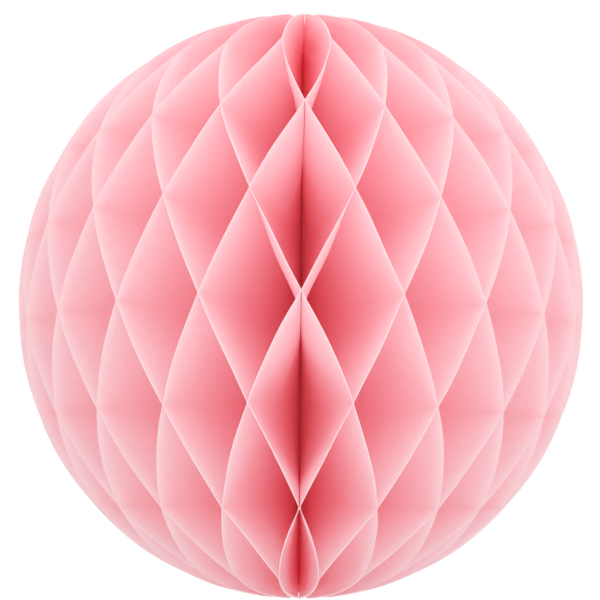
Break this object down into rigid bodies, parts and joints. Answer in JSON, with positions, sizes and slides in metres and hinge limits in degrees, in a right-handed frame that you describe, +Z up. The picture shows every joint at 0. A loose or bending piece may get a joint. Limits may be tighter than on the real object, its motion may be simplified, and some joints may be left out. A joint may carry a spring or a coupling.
{
  "type": "honeycomb paper ball",
  "caption": "Ball of pale pink tissue sheets, bound along one spine and glued on staggered lines so that they fan out into diamond cells, hung as a party decoration.",
  "frame": {"origin": "centre of the ball, on the binding, half way between the poles", "axes": "+Z up along the binding; -Y towards the seam where the first and the last sheet meet"},
  "size_m": [0.1998, 0.1996, 0.2072],
  "materials": {
    "tissue_paper": "matte dyed tissue",
    "binding_cotton": "matte cotton"
  },
  "bodies": {
    "root": {"sheet_01": "tissue_paper", "sheet_02": "tissue_paper", "sheet_03": "tissue_paper", "sheet_04": "tissue_paper", "sheet_05": "tissue_paper", "sheet_06": "tissue_paper", "sheet_07": "tissue_paper", "sheet_08": "tissue_paper", "sheet_09": "tissue_paper", "sheet_10": "tissue_paper", "sheet_11": "tissue_paper", "sheet_12": "tissue_paper", "sheet_13": "tissue_paper", "sheet_14": "tissue_paper", "sheet_15": "tissue_paper", "sheet_16": "tissue_paper", "sheet_17": "tissue_paper", "sheet_18": "tissue_paper", "sheet_19": "tissue_paper", "sheet_20": "tissue_paper", "sheet_21": "tissue_paper", "sheet_22": "tissue_paper", "sheet_23": "tissue_paper", "sheet_24": "tissue_paper", "sheet_25": "tissue_paper", "sheet_26": "tissue_paper", "sheet_27": "tissue_paper", "sheet_28": "tissue_paper", "sheet_29": "tissue_paper", "sheet_30": "tissue_paper", "sheet_31": "tissue_paper", "sheet_32": "tissue_paper", "sheet_33": "tissue_paper", "sheet_34": "tissue_paper", "sheet_35": "tissue_paper", "sheet_36": "tissue_paper", "sheet_37": "tissue_paper", "sheet_38": "tissue_paper", "sheet_39": "tissue_paper", "sheet_40": "tissue_paper", "sheet_41": "tissue_paper", "sheet_42": "tissue_paper", "sheet_43": "tissue_paper", "sheet_44": "tissue_paper", "sheet_45": "tissue_paper", "sheet_46": "tissue_paper", "binding_cord": "binding_cotton"}
  },
  "joints": []
}
